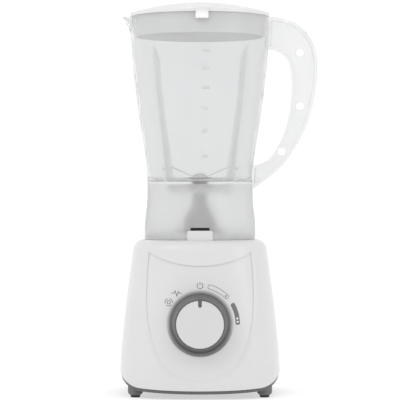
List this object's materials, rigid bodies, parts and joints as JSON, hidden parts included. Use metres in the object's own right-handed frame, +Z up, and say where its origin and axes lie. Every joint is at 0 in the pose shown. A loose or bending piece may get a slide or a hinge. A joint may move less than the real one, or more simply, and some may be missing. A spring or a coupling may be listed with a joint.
{
  "type": "countertop blender",
  "caption": "Countertop blender: clear jug with a side handle and spout, domed lid with a filler cap, tapered motor base with one round speed knob on rubber feet.",
  "frame": {"origin": "where the spindle axis meets the surface that the feet stand on", "axes": "+Z up along the spindle axis, knob at -Y, handle at +X, spout at -X"},
  "size_m": [0.2024, 0.1777, 0.4],
  "materials": {
    "casing_plastic": "moulded white ABS, satin gloss",
    "cover_plastic": "dark grey moulded plastic, matte",
    "foot_rubber": "black soft rubber",
    "clear_plastic": "clear moulded plastic, glossy",
    "lid_plastic": "translucent white moulded plastic",
    "knob_plastic": "grey satin plastic ring",
    "knob_metal": "satin silver face",
    "screw_steel": "zinc plated screws and nuts",
    "blade_steel": "ground stainless steel",
    "black_plastic": "black glass-filled plastic",
    "disc_plastic": "grey moulded plastic",
    "seal_rubber": "black sealing rubber",
    "bush_bronze": "sintered bronze",
    "copper": "varnished copper wire and copper bars",
    "core_steel": "stacked steel laminations",
    "bracket_metal": "die-cast aluminium",
    "brush_carbon": "carbon",
    "spring_steel": "spring wire"
  },
  "bodies": {
    "base": {"base_housing": "casing_plastic", "bottom_cover": "cover_plastic", "rubber_feet": "foot_rubber", "bottom_screws": "screw_steel", "cord_gland": "cover_plastic", "rotary_switch": "black_plastic", "switch_nut": "screw_steel", "stator_core": "core_steel", "field_coil_left": "copper", "field_coil_right": "copper", "lower_bracket": "bracket_metal", "upper_bracket": "bracket_metal", "motor_bush_lower": "bush_bronze", "motor_bush_upper": "bush_bronze", "motor_through_screws": "screw_steel", "motor_mounts": "foot_rubber", "mount_screws": "screw_steel", "brush_holders": "black_plastic", "carbon_brushes": "brush_carbon", "brush_spring_front": "spring_steel", "brush_spring_rear": "spring_steel"},
    "knob": {"knob_body": "knob_plastic", "knob_face": "knob_metal", "switch_spindle": "screw_steel"},
    "rotor": {"motor_shaft": "screw_steel", "drive_coupling": "black_plastic", "splash_disc": "disc_plastic", "armature_core": "core_steel", "armature_windings": "copper", "commutator": "copper", "cooling_fan": "black_plastic"},
    "jug": {"jug": "clear_plastic", "bearing_housing": "black_plastic", "bearing_locknut": "black_plastic", "bearing_gasket": "seal_rubber", "spindle_bush_lower": "bush_bronze", "spindle_bush_upper": "bush_bronze", "spindle_seal": "seal_rubber"},
    "blade": {"blade_upper": "blade_steel", "blade_lower": "blade_steel", "blade_washer": "blade_steel", "blade_nut": "blade_steel", "blade_spindle": "blade_steel", "driven_coupling": "black_plastic"},
    "lid": {"lid": "lid_plastic"},
    "filler_cap": {"filler_cap": "lid_plastic"}
  },
  "joints": [
    {"name": "knob_turn", "type": "hinge", "parent": "base", "child": "knob", "pos_m": [0, -0.0736, 0.075], "axis": [0, 1, 0], "range_deg": [-55, 90]},
    {"name": "rotor_spin", "type": "hinge", "parent": "base", "child": "rotor", "pos_m": [0, 0, 0.1], "axis": [0, 0, 1], "continuous": true},
    {"name": "jug_lift", "type": "slide", "parent": "base", "child": "jug", "axis": [0, 0, 1], "range_m": [0, 0.08]},
    {"name": "blade_spin", "type": "hinge", "parent": "jug", "child": "blade", "pos_m": [0, 0, 0.2], "axis": [0, 0, 1], "continuous": true},
    {"name": "lid_lift", "type": "slide", "parent": "jug", "child": "lid", "axis": [0, 0, 1], "range_m": [0, 0.05]},
    {"name": "filler_cap_lift", "type": "slide", "parent": "lid", "child": "filler_cap", "axis": [0, 0, 1], "range_m": [0, 0.04]}
  ],
  "couplings": [
    {"joint": "blade_spin", "follows": "rotor_spin", "ratio": 1}
  ]
}
